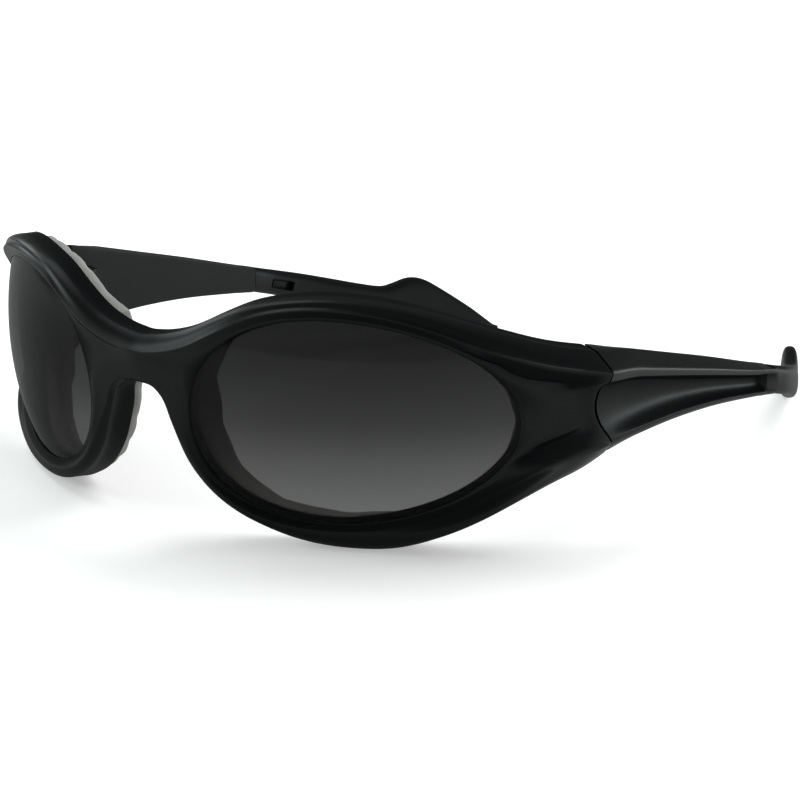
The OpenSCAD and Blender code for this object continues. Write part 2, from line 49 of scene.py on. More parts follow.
FOAM_T, FOAM_W, FOAM_INSET, SCALLOP, SCALLOPS = 3.7, 6.3, 1.3, 0.32, 22
BARREL_R, KNUCKLE_H, EAR_H, EAR_GAP = 2.2, 3.6, 2.8, 0.1
SCREW_R, SCREW_HEAD_R, SCREW_HEAD_H = 0.75, 1.35, 0.8
HINGE_LEAN, HINGE_BEVEL, SEAM_GAP = 9.0, 0.18, 0.35
HINGE_FROM_SEAM = (-0.3, 4.8, 1.5)
ARM_LEN, ARM_OUT, TIP_LEN = 57.0, 2.6, 53.4
TANG_LEN, TANG_H, TANG_T, TANG_GAP = 10.0, 3.4, 1.6, 0.08
TIP_GAP, TIP_SLANT, SNAP_W, SNAP_H, SNAP_Y = 0.15, 2.4, 6.0, 2.2, 3.4
STAND = np.array([0.0, -16.0034, 29.0145])  # from the origin used here to the frame's
MM = 0.001

# Angles round one eye, in degrees: 0 at the temple, 90 at the brow, 180 at the nose.
# The front ends at the seam, from SEAM_LOW past 360 to SEAM_TOP, and the rows from
# MIDDLE_TOP to MIDDLE_LOW lie in the middle plane.
SEAM_TOP, SEAM_MID, SEAM_LOW, SEAM_START = 20, 362, 344, 15
MIDDLE_TOP, MIDDLE_LOW = 152, 165

# Stretches round one eye: the angle of the middle, and the reach to either side.
NOSE, BROW_TOP, LOWER_HALF, BOTTOM, FREE_BOTTOM = (190, 60), (84, 66), (240, 110), (240, 92), (320, 45)
SEAM_STRIP, PANEL, PANEL_FLOOR, LOWER_END = (364, 14), (360, 17), (340, 18), (332, 22)
LOWER_STEP, LOWER_CORNER, LOWER_FINGER = (346, 15), (344, 18), (339, 20)
UPPER_STEP, UPPER_CORNER, UPPER_FINGER = (388, 22), (382, 16), (390, 16)
NOSE_CREST, BROW_CREST, BROW_DIP, BROW_BAND = (140, 16), (100, 30), (58, 22), (85, 60)
FOAM_BROW, FOAM_LINED, FOAM_CLEAR = (90, 80), (225, 115), (328, 58)

# Columns of the guide rows, and points of the rim's cross-section.
ANGLE, SIDE, UP, PROUD, EDGE_SIDE, EDGE_UP, EDGE_PROUD, DEPTH, FLARE, SWELL = range(10)
LENS_EDGE, FOOT, RIDGE, OUTER_EDGE, BACK_EDGE, INNER_BACK, SECTION = 0, 2, 5, 9, 12, 13, 18


# -------------------------------------------------------------- small numbers
def vec(*numbers):
    return np.array(numbers, float)


def mix(p, q, k):
    return p * (1 - k) + q * k


def unit(v):
    return v / np.linalg.norm(v)


def sin(a):
    return math.sin(math.radians(a))


def cos(a):
    return math.cos(math.radians(a))


def deg(mm):
    return math.degrees(mm / LENS_R)


def bump(t, middle, reach):
    """1 at the middle, falling smoothly to 0 at reach to either side."""
    return 0.5 + 0.5 * cos(180 * min(1, abs(t - middle) / reach))


def onward(t, start):
    """The same angle, past start."""
    return t if t > start else t + 360


def smooth(rows, n):
    """A smooth curve through rows of numbers, n steps from row to row."""
    rows = [vec(*r) for r in rows]
    all_rows = [2 * rows[0] - rows[1]] + rows + [2 * rows[-1] - rows[-2]]
    out = []
    for i in range(1, len(all_rows) - 2):
        p, q, r, s = all_rows[i - 1:i + 3]
        for m in range(n):
            k = m / n
            out.append(0.5 * (2 * q + (r - p) * k + (2 * p - 5 * q + 4 * r - s) * k * k
                              + (3 * q - p - 3 * r + s) * k ** 3))
    return out + [rows[-1]]


# ------------------------------------------- the ball and the cap at the bridge
CAP_X = BALL_X + LENS_R * sin(BRIDGE_A)
MID_A = BRIDGE_A - math.degrees(CAP_X / (LENS_R * cos(BRIDGE_A)))


def share(a):
    """Where a sideways angle lies between the middle plane (0) and the ball (1)."""
    return (a - MID_A) / (BRIDGE_A - MID_A)


def turn(a):
    """How far the face surface has turned from the front at a sideways angle."""
    return BRIDGE_A * share(a) if a < BRIDGE_A else a


def ball(ab, h):
    """A point h above the lens's ball, at sideways angle a and upward angle b."""
    a, b = ab
    r = LENS_R + h
    return vec(BALL_X + r * sin(a) * cos(b), -r * cos(a) * cos(b), r * sin(b))


def on(ab, h):
    """A point h above the face surface, at sideways angle a and upward angle b."""
    a, b = ab
    if a >= BRIDGE_A:
        return ball(ab, h)
    k, t = share(a), turn(a)
    x = BALL_X + LENS_R * sin(BRIDGE_A) * cos(b)
    y = -LENS_R * cos(BRIDGE_A) * cos(b) - math.tan(math.radians(BRIDGE_A)) / 2 * x * (1 - k * k)
    return vec(x * k + h * sin(t) * cos(b), y - h * cos(t) * cos(b), (LENS_R + h) * sin(b))


def back(a):
    """The direction straight back from the face surface."""
    return vec(-sin(turn(a)), cos(turn(a)), 0)


def along(ab, u, v):
    """A direction along the face surface, u sideways and v upwards."""
    t, b = turn(ab[0]), ab[1]
    return vec(u * cos(t) - v * sin(t) * sin(b), u * sin(t) + v * cos(t) * sin(b), v * cos(b))


def window(t, out=0.0):
    """Edge of the visible lens at angle t round the eye, moved outwards by out."""
    w, h = deg(LENS_W / 2), deg(LENS_H / 2)
    point, tilt = deg(LENS_POINT), deg(LENS_TILT)
    p = vec(deg(LENS_NOSE) + w - point + w * cos(t) + point * cos(2 * t),
            h * sin(t) + tilt * (sin(2 * t) - cos(2 * t)) - deg(LENS_LOW))
    n = unit(vec(h * cos(t) + 2 * tilt * (cos(2 * t) + sin(2 * t)),
                 w * sin(t) + 2 * point * sin(2 * t)))
    return p + deg(out) * n


# Guide rows round one eye: angle; ridge to the side, above and proud of the lens
# edge; outer edge to the side of the ridge, above it and proud of the lens; depth
# of the back edge; its flare; swell of the band between ridge and outer edge.
BROW = [
    [20, 20.8, 1.1, 1.7, -2.0, 4.1, -1.0, 4.2, 0.8, 0.0],
    [26, 13.8, 1.1, 1.8, -0.4, 3.7, -0.8, 4.0, 0.6, 0.3],
    [32, 8.6, 1.1, 1.9, 0.2, 3.7, -0.6, 3.9, 0.5, 0.6],
    [42, 3.3, 1.3, 2.0, 1.1, 3.5, -0.5, 3.8, 0.4, 0.9],
    [54, 0.6, 1.9, 2.0, 1.3, 2.9, -0.4, 3.7, 0.3, 1.0],
    [68, -0.2, 2.0, 2.0, 1.0, 2.6, -0.4, 3.7, 0.3, 0.9],
    [84, -0.4, 1.9, 2.0, 0.5, 2.5, -0.4, 3.7, 0.3, 0.7],
    [100, -0.5, 1.8, 1.9, -0.2, 2.4, -0.4, 3.7, 0.3, 0.6],
    [114, -1.0, 1.6, 1.8, -1.0, 2.5, -0.4, 3.8, 0.3, 0.5],
    [126, -2.5, 0.8, 1.7, -1.5, 2.6, -0.4, 3.9, 0.3, 0.5],
    [138, -5.6, 0.0, 1.6, -1.4, 2.9, -0.5, 4.1, 0.3, 0.5],
    [146, -10.3, 0.1, 1.5, -0.8, 3.1, -0.6, 4.3, 0.3, 0.4],
    [152, -15.4, 1.0, 1.5, 0.0, 3.2, -0.7, 4.5, 0.3, 0.4]]
BRIDGE = [
    BROW[-1],
    [158, -14.4, 0.5, 1.0, 0.0, 0.1, -0.7, 4.7, 0.0, 0.2],
    [165, -13.6, 0.1, 0.4, 0.0, -1.0, -0.7, 5.0, 0.0, 0.2]]
RIM = [
    BRIDGE[-1],
    [169, -9.4, 0.9, 0.4, -0.3, -0.9, -0.7, 5.3, 0.0, 0.2],
    [174, -6.1, 0.0, 0.4, -0.6, -0.4, -0.7, 5.7, 0.1, 0.2],
    [182, -4.5, -1.0, 0.4, -0.7, -0.2, -0.7, 6.2, 0.3, 0.2],
    [192, -2.9, -1.0, 0.7, -1.2, -0.8, -0.4, 6.0, 0.4, 0.3],
    [204, -1.7, -1.2, 1.0, -1.7, -1.3, -0.2, 5.6, 0.4, 0.4],
    [218, -1.1, -1.4, 1.2, -1.3, -1.8, -0.1, 5.2, 0.4, 0.5],
    [232, -0.7, -1.4, 1.3, -0.9, -2.1, 0.0, 5.0, 0.3, 0.6],
    [246, -0.3, -1.3, 1.3, -0.6, -2.7, -0.1, 4.8, 0.2, 0.8],
    [262, 0.0, -1.1, 1.3, -0.4, -4.0, -0.1, 4.6, 0.2, 1.0],
    [278, 0.1, -1.1, 1.3, 0.0, -4.7, 0.2, 4.5, 0.2, 1.2],
    [292, 0.4, -1.2, 1.4, 0.8, -4.9, 0.8, 4.4, 0.2, 1.5],
    [304, 0.9, -1.3, 1.5, 1.4, -4.1, 1.0, 4.3, 0.2, 1.9],
    [316, 1.9, -1.1, 1.6, 1.7, -3.4, 1.2, 4.3, 0.3, 2.2],
    [326, 4.0, -0.7, 1.7, 1.8, -3.1, 1.2, 4.2, 0.4, 2.0],
    [334, 8.5, 0.1, 1.7, 1.9, -3.4, 0.9, 4.2, 0.4, 1.3],
    [340, 14.5, 0.0, 1.7, 1.4, -3.3, 0.4, 4.2, 0.3, 0.5],
    [344, 20.6, 0.1, 1.7, 0.6, -2.6, -0.3, 4.2, 0.2, 0.0]]
SEAM = [
    RIM[-1],
    [350, 18.9, -0.7, 1.3, 0, 0, 0, 4.2, 0, 0],
    [356, 16.5, -0.5, 0.8, 0, 0, 0, 4.2, 0, 0],
    [362, 15.1, 0.1, 0.6, 0, 0, 0, 4.2, 0, 0],
    [368, 15.4, 0.6, 0.6, 0, 0, 0, 4.2, 0, 0],
    [373, 17.1, 1.2, 0.8, 0, 0, 0, 4.2, 0, 0],
    [377, 19.5, 0.4, 1.4, 0, 0, 0, 4.2, 0, 0],
    [BROW[0][0] + 360] + BROW[0][1:]]


def round_eye(brow_n, bridge_n, rim_n, seam_n):
    """All rows round one eye, each with whether it lies along the seam."""
    out = []
    for rows, n in ((BROW, brow_n), (BRIDGE, bridge_n), (RIM, rim_n), (SEAM, seam_n)):
        out += [(r, rows is SEAM and r[ANGLE] > SEAM_LOW) for r in smooth(rows, n)[:-1]]
    return out


def at_bridge(r):
    """Whether this row's ridge and outer edge lie in the middle plane."""
    return MIDDLE_TOP <= r[ANGLE] <= MIDDLE_LOW


def ridge(r):
    """The ridge's two angles on the face surface."""
    w = window(r[ANGLE])
    return vec(MID_A if at_bridge(r) else w[0] + deg(r[SIDE]), w[1] + deg(r[UP]))


def edge(r):
    """The outer edge's two angles on the face surface."""
    c = ridge(r)
    return vec(MID_A if at_bridge(r) else c[0] + deg(r[EDGE_SIDE]), c[1] + deg(r[EDGE_UP]))


def wall(r, k, out):
    """A point of the outer wall, k of the way to the back edge, moved outwards by out."""
    e = edge(r)
    least_rise = 0.02
    n = unit(vec(r[EDGE_SIDE], r[EDGE_UP] if abs(r[EDGE_UP]) > least_rise else least_rise))
    return (on(e, r[EDGE_PROUD]) + back(e[0]) * (r[EDGE_PROUD] + r[DEPTH]) * k
            + along(e, 0 if at_bridge(r) else n[0], n[1]) * out)


def end_wall(r, k):
    """A point of the wall at the seam, k of the way from the ridge to the back edge."""
    c = ridge(r)
    return on(c, r[PROUD]) + back(c[0]) * (r[PROUD] + r[DEPTH]) * k


def step_share(t):
    """1 where the panel beside the hinge steps up to the two fingers."""
    t = onward(t, SEAM_START)
    return min(1, 1.8 * max(bump(t, *LOWER_STEP), bump(onward(t, 180), *UPPER_STEP)))


NOSE_FIRST, NOSE_FOOT = 0.5, 1.5
# Points 3 and 4 climb the step from the panel to the ridge. Their share of its run, and
# of the ridge's height: on a soft step, on a steep one, beside the seam, at the nose.
STEP_PLACE = {3: (0.45, 0.12, 0.35, 0.5), 4: (0.86, 0.7, 0.75, 0.85)}
STEP_HEIGHT = {3: (0.5, 0.45, 0.6, 1), 4: (0.92, 0.92, 1, 1)}
# Points 6 to 8 lie on the band: share of the way to the outer edge, of its swell, groove.
BAND = {6: (0.24, 0.6, BROW_GROOVE), 7: (0.52, 1, 0), 8: (0.82, 0.75, 0)}
# Points 9 to 12 lie on the wall: share of the way back, share of its flare, nose scoop.
WALL = {9: (0, 0, 0), 10: (0.35, 0.2, NOSE_SCOOP), 11: (0.7, 0.6, 0.6 * NOSE_SCOOP), 12: (1, 1, 0)}


def panel_point(r, at_seam, j):
    """Point j of the cross-section between the lens edge and the ridge."""
    t, w, c = r[ANGLE], window(r[ANGLE]), ridge(r)
    run, nose = np.linalg.norm(c - w), bump(t, *NOSE)
    strip = bump(t, *SEAM_STRIP) if at_seam else 0
    steep = step_share(t) * (1 - strip)
    corners = 1 + 4 * bump(t, *LOWER_CORNER) + 2 * bump(onward(t, 200), *UPPER_CORNER)
    foot = max(run - deg(mix(WALL_RUN * corners, STRIP_W, strip)),
               (0.3 - 0.22 * bump(t, *PANEL_FLOOR)) * run)
    if j == 1:
        place, height = mix(0.5 * foot, deg(NOSE_FIRST), nose), mix(0.12, 0.55 * r[PROUD], nose)
    elif j == FOOT:
        place, height = mix(foot, deg(NOSE_FOOT), nose), mix(0.15, 0.95 * r[PROUD], nose)
    else:
        soft, hard, beside, low = STEP_PLACE[j]
        place = mix(mix(foot, run, mix(mix(soft, hard, steep), beside, strip)),
                    mix(deg(NOSE_FOOT), run, low), nose)
        soft, hard, beside, low = STEP_HEIGHT[j]
        height = mix(mix(mix(soft, hard, steep), beside, strip), low, nose) * r[PROUD]
    return on(mix(w, c, place * (1 / run if run > 0 else 0)), height)


def rim_point(r, at_seam, j):
    """Point j of the rim's cross-section: lens edge, panel, ridge, band, wall, seat, groove."""
    t = r[ANGLE]
    if j == LENS_EDGE:
        return ball(window(t), LENS_GAP)
    if j < RIDGE:
        return panel_point(r, at_seam, j)
    if j == RIDGE:
        return on(ridge(r), r[PROUD])
    if at_seam and j <= BACK_EDGE:
        return end_wall(r, (j - RIDGE) / (BACK_EDGE - RIDGE))
    if j in BAND:
        k, swell, groove = BAND[j]
        height = mix(r[PROUD], r[EDGE_PROUD], k) + swell * r[SWELL] - groove * bump(t, *BROW_TOP)
        return on(mix(ridge(r), edge(r), k), height)
    if j in WALL:
        k, flare, scoop = WALL[j]
        return wall(r, k, flare * r[FLARE] - scoop * bump(t, *NOSE))
    if j == INNER_BACK:
        p = window(t, 1.6 + 0.8 * bump(t, *FREE_BOTTOM))
        return ball(p, 0) + back(p[0]) * r[DEPTH]
    low, lap = bump(t, *LOWER_HALF), LENS_LAP + LENS_GAP
    outwards, height = {14: (0.4 + 0.55 * low, -LENS_T - LIP_T), 15: (0.6 * low, -LENS_T - LENS_GAP),
                        16: (lap, -LENS_T - LENS_GAP), 17: (lap, LENS_GAP)}[j]
    return ball(window(t, outwards), height)


# ------------------------------------------------------------- making a piece
SMOOTH_LEVELS = 2


def alone(ob):
    """Select this object only."""
    bpy.ops.object.select_all(action="DESELECT")
    ob.select_set(True)
    bpy.context.view_layer.objects.active = ob


def piece(name, points, faces, creases=None, painted_gloss=None):
    """A mesh object from points in mm, with a sharpness for pairs of points
    and a gloss for each point: painted shade where low, painted highlights where high."""
    mesh = bpy.data.meshes.new(name)
    mesh.from_pydata([tuple((p + STAND) * MM) for p in points], [], faces)
    ob = bpy.data.objects.new(name, mesh)
    bpy.context.scene.collection.objects.link(ob)
    if creases:
        sharp = mesh.attributes.new("crease_edge", "FLOAT", "EDGE")
        for i, e in enumerate(mesh.edges):
            value = creases.get(tuple(sorted(e.vertices)), 0)
            if value:
                sharp.data[i].value = value
    # Each point's gloss, which paints shade and highlights, goes on as an attribute.
    if painted_gloss:
        mesh.attributes.new("painted_gloss", "FLOAT", "POINT").data.foreach_set("value", painted_gloss)
    loose = bmesh.new()
    loose.from_mesh(mesh)
    bmesh.ops.delete(loose, geom=[v for v in loose.verts if not v.link_faces], context="VERTS")
    bmesh.ops.recalc_face_normals(loose, faces=loose.faces)
    loose.to_mesh(mesh)
    loose.free()
    return ob


def finish_with(ob, kind, **settings):
    """Add one modifier and apply it."""
    alone(ob)
    mod = ob.modifiers.new(kind.title(), kind)
    for setting, value in settings.items():
        setattr(mod, setting, value)
    bpy.ops.object.modifier_apply(modifier=mod.name)
    return ob


def rounded(ob):
    """The smooth surface over a piece's points, except along its sharp edges."""
    return finish_with(ob, "SUBSURF", levels=SMOOTH_LEVELS, render_levels=SMOOTH_LEVELS)


def cut(ob, *tools):
    """Take the tools away from a piece, and out of the scene."""
    for tool in tools:
        finish_with(ob, "BOOLEAN", operation="DIFFERENCE", solver="EXACT", object=tool)
        bpy.data.objects.remove(tool)
    return ob


def join(ob, *others):
    alone(ob)
    for other in others:
        other.select_set(True)
    bpy.ops.object.join()
    return ob


def shade(ob, angle=35):
    """Smooth shading, with the edges over this angle kept sharp."""
    alone(ob)
    bpy.ops.object.shade_smooth_by_angle(angle=math.radians(angle))
    return ob


def mirrored(ob, name):
    """The same piece for the other side, with its own mesh."""
    other = ob.copy()
    other.data = ob.data.copy()
    other.name = other.data.name = name
    bpy.context.scene.collection.objects.link(other)
    other.data.transform(Matrix.Scale(-1, 4, Vector((1, 0, 0))))
    other.data.flip_normals()
    return other


def key(a, b):
    """The name of an edge between two points."""
    return (a, b) if a < b else (b, a)


def block(low, high, place, round_by=0.0):
    """A box between two corners in mm, bevelled, then put in its place."""
    bpy.ops.object.select_all(action="DESELECT")
    low, high = vec(*low), vec(*high)
    bpy.ops.mesh.primitive_cube_add(size=1, location=(0, 0, 0))
    ob = bpy.context.active_object
    ob.data.transform(Matrix.Translation(Vector((low + high) / 2 * MM))
                      @ Matrix.Diagonal(Vector([*((high - low) * MM), 1])))
    if round_by:
        finish_with(ob, "BEVEL", width=round_by * MM, segments=3)
    ob.data.transform(place)
    return ob


def barrel(radius, low, high, place, round_by=0.0, around=48):
    """A cylinder between two levels in mm, bevelled, then put in its place."""
    bpy.ops.object.select_all(action="DESELECT")
    bpy.ops.mesh.primitive_cylinder_add(vertices=around, radius=radius * MM, depth=(high - low) * MM,
                                        location=(0, 0, 0))
    ob = bpy.context.active_object
    ob.data.transform(Matrix.Translation((0, 0, (low + high) / 2 * MM)))
    if round_by:
        finish_with(ob, "BEVEL", width=round_by * MM, segments=3, limit_method="ANGLE")
    ob.data.transform(place)
    return ob


def wrapped(name, points, place, round_by):
    """The skin stretched over some points in mm, with bevelled edges."""
    mesh = bpy.data.meshes.new(name)
    skin = bmesh.new()
    for p in points:
        skin.verts.new(Vector(p) * MM)
    bmesh.ops.convex_hull(skin, input=skin.verts)
    bmesh.ops.dissolve_limit(skin, angle_limit=0.02, verts=skin.verts, edges=skin.edges)
    bmesh.ops.recalc_face_normals(skin, faces=skin.faces)
    skin.to_mesh(mesh)
    skin.free()
    ob = bpy.data.objects.new(name, mesh)
    bpy.context.scene.collection.objects.link(ob)
    finish_with(ob, "BEVEL", width=round_by * MM, segments=2, limit_method="ANGLE",
                angle_limit=math.radians(40))
    ob.data.transform(place)
    return ob


# ----------------------------------------------------------------- the front
LINE_SHARP = {0: 1.0, 2: 0.6, 3: 0.3, 4: 0.3, 5: 0.6, 6: 0.25, 9: 0.5, 12: 0.5, 13: 0.5,
              14: 0.7, 15: 0.9, 16: 0.9, 17: 0.9}
HINGE_SHARP = {**LINE_SHARP, 2: 1.0, 3: 0.6, 4: 0.2, 5: 0.5}
HINGE_TOP, HINGE_LOW = 44, 322
CORNER_SHARP = 0.7

rim = round_eye(3, 2, 3, 2)
rim_points = [[rim_point(r, at_seam, j) for j in range(SECTION)] for r, at_seam in rim]
rim_n = len(rim)


def in_plane(i, j):
    """Whether a point of the rim lies in the middle plane, where both halves share it."""
    return at_bridge(rim[i][0]) and RIDGE <= j <= BACK_EDGE


def corner(side, i, j):
    """The number of point j in row i, on the left half (0) or the right half (1)."""
    return (0 if in_plane(i, j) else side * rim_n * SECTION) + i * SECTION + j


def painted_gloss_at(t, j):
    """Painted shade and highlights in the gloss: matt in the recesses (-1), glossier on the crests (1).
    """
    t = onward(t, SEAM_START)
    low, panel, finger = bump(t, *BOTTOM), bump(t, *PANEL), bump(t, *LOWER_FINGER)
    lower_end, steps = bump(t, *LOWER_END), step_share(t)
    if j == LENS_EDGE:
        return -0.9 * (1 - max(panel, lower_end))
    if j == RIDGE - 1:
        return -max(0.3 * low, 0.9 * steps)
    if j < RIDGE:
        at_low, at_steps = {1: (0.7, 0.0), 2: (0.85, 0.35), 3: (0.6, 1.0)}[j]
        return -max(at_low * low * (1 - lower_end), at_steps * steps)
    if j == RIDGE:
        return (0.6 * bump(t, *NOSE_CREST) + 0.4 * bump(t, *BROW_CREST) - 0.4 * bump(t, *BROW_DIP)
                + 0.8 * max(bump(onward(t, 180), *UPPER_FINGER), finger))
    if j <= OUTER_EDGE:
        brow, at_low = (0.8, 0.55) if j < OUTER_EDGE else (0, 0.3)
        return mix(brow * bump(t, *BROW_BAND) - at_low * low, 1.3, finger)
    return -0.5


points = [p for ring in rim_points for p in ring]
points += [vec(-p[0], p[1], p[2]) for p in points]
faces, creases = [], {}
for side in (0, 1):
    for i in range(rim_n):
        k, t = (i + 1) % rim_n, rim[i][0][ANGLE]
        lines = HINGE_SHARP if t < HINGE_TOP or t > HINGE_LOW else LINE_SHARP
        for j in range(SECTION):
            m = (j + 1) % SECTION
            if not all(in_plane(a, b) for a in (i, k) for b in (j, m)):
                faces.append((corner(side, i, j), corner(side, k, j),
                              corner(side, k, m), corner(side, i, m)))
            if j in lines and not (in_plane(i, j) and in_plane(k, j)):
                creases[key(corner(side, i, j), corner(side, k, j))] = lines[j]
        if t in (SEAM_TOP, SEAM_LOW):
            for j in range(RIDGE, BACK_EDGE):
                creases[key(corner(side, i, j), corner(side, i, j + 1))] = CORNER_SHARP
# Each rim point's gloss: painted shade in the recesses, painted highlights on the crests.
painted_gloss = [painted_gloss_at(r[ANGLE], j) for r, _ in rim for j in range(SECTION)] * 2
front = rounded(piece("front_moulding", points, faces, creases, painted_gloss))


def row_at(t):
    """The rim's row at angle t."""
    return min(range(rim_n), key=lambda i: abs(rim[i][0][ANGLE] - t))


hinge = rim_points[row_at(SEAM_MID)][BACK_EDGE] + vec(*HINGE_FROM_SEAM)
arm_end = hinge + vec(ARM_OUT, ARM_LEN, 0)
at_hinge = (Matrix.Translation(Vector((hinge + STAND) * MM))
            @ Matrix.Rotation(math.radians(-HINGE_LEAN), 4, "X"))
ear_z = KNUCKLE_H / 2 + EAR_GAP
ear_feet = (ear_z, -ear_z - EAR_H)
ear_top = ear_z + EAR_H


def circle(radius, z, n=48):
    """Points round the hinge's axis at level z."""
    return [(radius * cos(360 * i / n), radius * sin(360 * i / n), z) for i in range(n)]


def ear(z):
    """One hinge ear with its foot at level z, reaching forwards into the front."""
    eye = circle(BARREL_R, z) + circle(BARREL_R, z + EAR_H)
    root = [(x, y, h) for x in (-1.4, 1.8) for y in (-8, -6) for h in (z, z + EAR_H)]
    return wrapped("ear", eye + root, at_hinge, HINGE_BEVEL)


BORE_GAP, HEAD_GAP, BORE_END = 0.03, 0.06, 8
ears = join(*[ear(z) for z in ear_feet])
ears = cut(ears, barrel(SCREW_R + BORE_GAP, -BORE_END, BORE_END, at_hinge),
           barrel(SCREW_HEAD_R + HEAD_GAP, ear_top - SCREW_HEAD_H, BORE_END, at_hinge))
front = shade(join(front, ears, mirrored(ears, "ears_right")))


# -------------------------------------------------------------------- lenses
def lens_shell(name, around=144, rings=14):
    """A lens: two skins of rings round its middle, and the rim between them."""
    middle = window(0) * 0.5 + window(180) * 0.5
    outline = [window(360 * i / around, LENS_LAP) for i in range(around)]
    pts, fcs = [], []
    for h in (0.0, -LENS_T):
        pts.append(ball(middle, h))
        for k in range(1, rings + 1):
            pts += [ball(mix(middle, o, k / rings), h) for o in outline]
    skin = 1 + rings * around
    for s, flip in ((0, False), (skin, True)):
        for i in range(around):
            m = (i + 1) % around
            f = [(s, s + 1 + i, s + 1 + m)]
            for k in range(rings - 1):
                a, b = s + 1 + k * around, s + 1 + (k + 1) * around
                f.append((a + i, b + i, b + m, a + m))
            fcs += [g[::-1] if flip else g for g in f]
    a = 1 + (rings - 1) * around
    b = skin + a
    fcs += [(a + i, b + i, b + (i + 1) % around, a + (i + 1) % around) for i in range(around)]
    return shade(piece(name, pts, fcs), 40)


lens_left = lens_shell("lens_shell_left")
lens_right = mirrored(lens_left, "lens_shell_right")


# ---------------------------------------------------------------------- foam
def foam_section(r, at_seam):
    """The foam's cross-section: along the rim's back, round the cushion, in to the lens."""
    t = r[ANGLE]
    inner, outer = rim_point(r, at_seam, INNER_BACK), rim_point(r, at_seam, BACK_EDGE)
    room = np.linalg.norm(outer - inner)
    wave = SCALLOP * (abs(sin(SCALLOPS / 2 * t)) - 0.6)
    inside = min(1, 1.6 * bump(t, *FOAM_LINED))
    lobes = abs(sin(6.5 * t + 15)) - 0.6
    step = 1.1 * bump(t, *FOAM_BROW) + 1.3 * inside - 1.3 * bump(t, *FOAM_CLEAR) + 0.45 * lobes
    b, d = back(window(t)[0]), (outer - inner) / room
    k = FOAM_T + 0.5 * wave
    p = inner - d * (0.45 + step)
    q = inner + d * min(FOAM_W, room - FOAM_INSET)
    glued = [p + d * 0.3 + b * 0.02, mix(p, q, 0.5) + b * 0.02, q + b * 0.02]
    outside = [q + b * k * 0.35 + d * (0.35 + wave * 0.6),
               q + b * k * 0.68 + d * (0.25 + wave * 0.9), q + b * k * 0.9 + d * (-0.3 + wave)]
    cushion = [mix(p, q, 0.66) + b * k * 1.03, mix(p, q, 0.36) + b * k * 1.01]
    eye_side = [p + b * k * 0.88 + d * 0.1, p + b * k * 0.6 - d * 0.25, p + b * k * 0.3 - d * 0.1]
    lining = [ball(window(t, mix(0.9, 0.15, inside)), -LENS_T - 0.4),
              ball(window(t, mix(1.1, 0.7, inside)), -LENS_T - 0.3)]
    return glued + outside + cushion + eye_side + lining


def loft(rings, closed_round):
    """Quads through rings of points. Where they don't close round, the ends stay open."""
    n, count = len(rings[0]), len(rings)
    quads = []
    for i in range(count if closed_round else count - 1):
        k = (i + 1) % count
        quads += [(i * n + j, k * n + j, k * n + (j + 1) % n, i * n + (j + 1) % n) for j in range(n)]
    return [p for ring in rings for p in ring], quads


def swollen(ob, name, cell, strength, **settings):
    """Push a piece's surface out and in by a cloud pattern, sizes in mm."""
    texture = bpy.data.textures.new(name, "CLOUDS")
    texture.noise_scale = cell * MM
    for setting, value in settings.items():
        setattr(texture, setting, value)
    finish_with(ob, "DISPLACE", texture=texture, strength=strength * MM, mid_level=0.5)


def foam_ring(name):
    rings = [foam_section(r, at_seam) for r, at_seam in round_eye(10, 5, 9, 5)]
    pts, quads = loft(rings, True)
    n, count = len(rings[0]), len(rings)
    sharp = {key(i * n + j, (i + 1) % count * n + j): 0.5 for i in range(count) for j in (0, 2)}
    ob = rounded(piece(name, pts, quads, sharp))
    swollen(ob, "foam_cells", 0.9, 0.06, noise_depth=2)
    swollen(ob, "foam_lumps", 4, 0.3)
    return shade(ob, 60)


foam_left = foam_ring("foam_ring_left")
foam_right = mirrored(foam_left, "foam_ring_right")

# -------------------------------------------------------- ear tips, sections
# Share of the tip's length, shift inwards, top, bottom and thickness.
TIP = [
    [0.0, 0.0, -5.7, -11.6, 3.4],
    [0.1, 0.7, -7.1, -13.1, 3.7],
    [0.25, 3.9, -9.2, -15.7, 3.8],
    [0.43, 9.7, -12.0, -19.3, 3.7],
    [0.53, 12.9, -13.3, -21.2, 3.6],
    [0.58, 14.5, -12.8, -22.2, 3.6],
    [0.64, 16.5, -11.8, -23.4, 3.5],
    [0.7, 18.7, -12.6, -24.6, 3.4],
    [0.78, 21.6, -16.0, -26.1, 3.2],
    [0.87, 24.9, -20.6, -27.6, 3.0],
    [0.93, 27.0, -24.3, -28.2, 2.8],
    [0.965, 28.1, -26.6, -28.3, 2.3],
    [0.985, 28.7, -27.5, -28.2, 1.6]]
TIP_POINTS, DROPPED_AT = 20, 0.95
tip_floor = -STAND[2] - hinge[2]
tip_steps = smooth(TIP, 4)
tip_drop = tip_floor - 0.15 - min(r[3] for r in tip_steps)


def squared(v):
    """Rounds a ring's sine or cosine towards a box."""
    return math.copysign(abs(v) ** 0.65, v)


def tip_ring(i):
    """The tip's section at step i, dropped near its end so that it stands on the table."""
    run, inward, top, low, thick = tip_steps[i]
    before, after = tip_steps[max(0, i - 1)], tip_steps[min(len(tip_steps) - 1, i + 1)]
    go = unit(vec(before[1] - after[1], (after[0] - before[0]) * TIP_LEN, 0)) if i else vec(0, 1, 0)
    side = vec(go[1], -go[0], 0)
    top = top + tip_drop * (run / DROPPED_AT) ** 8
    low = max(tip_floor, low + tip_drop * (run / DROPPED_AT) ** 3)
    middle = vec(arm_end[0] - inward, arm_end[1] + TIP_GAP / 2 + run * TIP_LEN,
                 hinge[2] + (top + low) / 2)
    angles = [90 - (k + 0.5) * 360 / TIP_POINTS for k in range(TIP_POINTS)]
    return [middle + side * thick / 2 * squared(cos(t)) + vec(0, 0, (top - low) / 2 * squared(sin(t)))
            for t in angles]


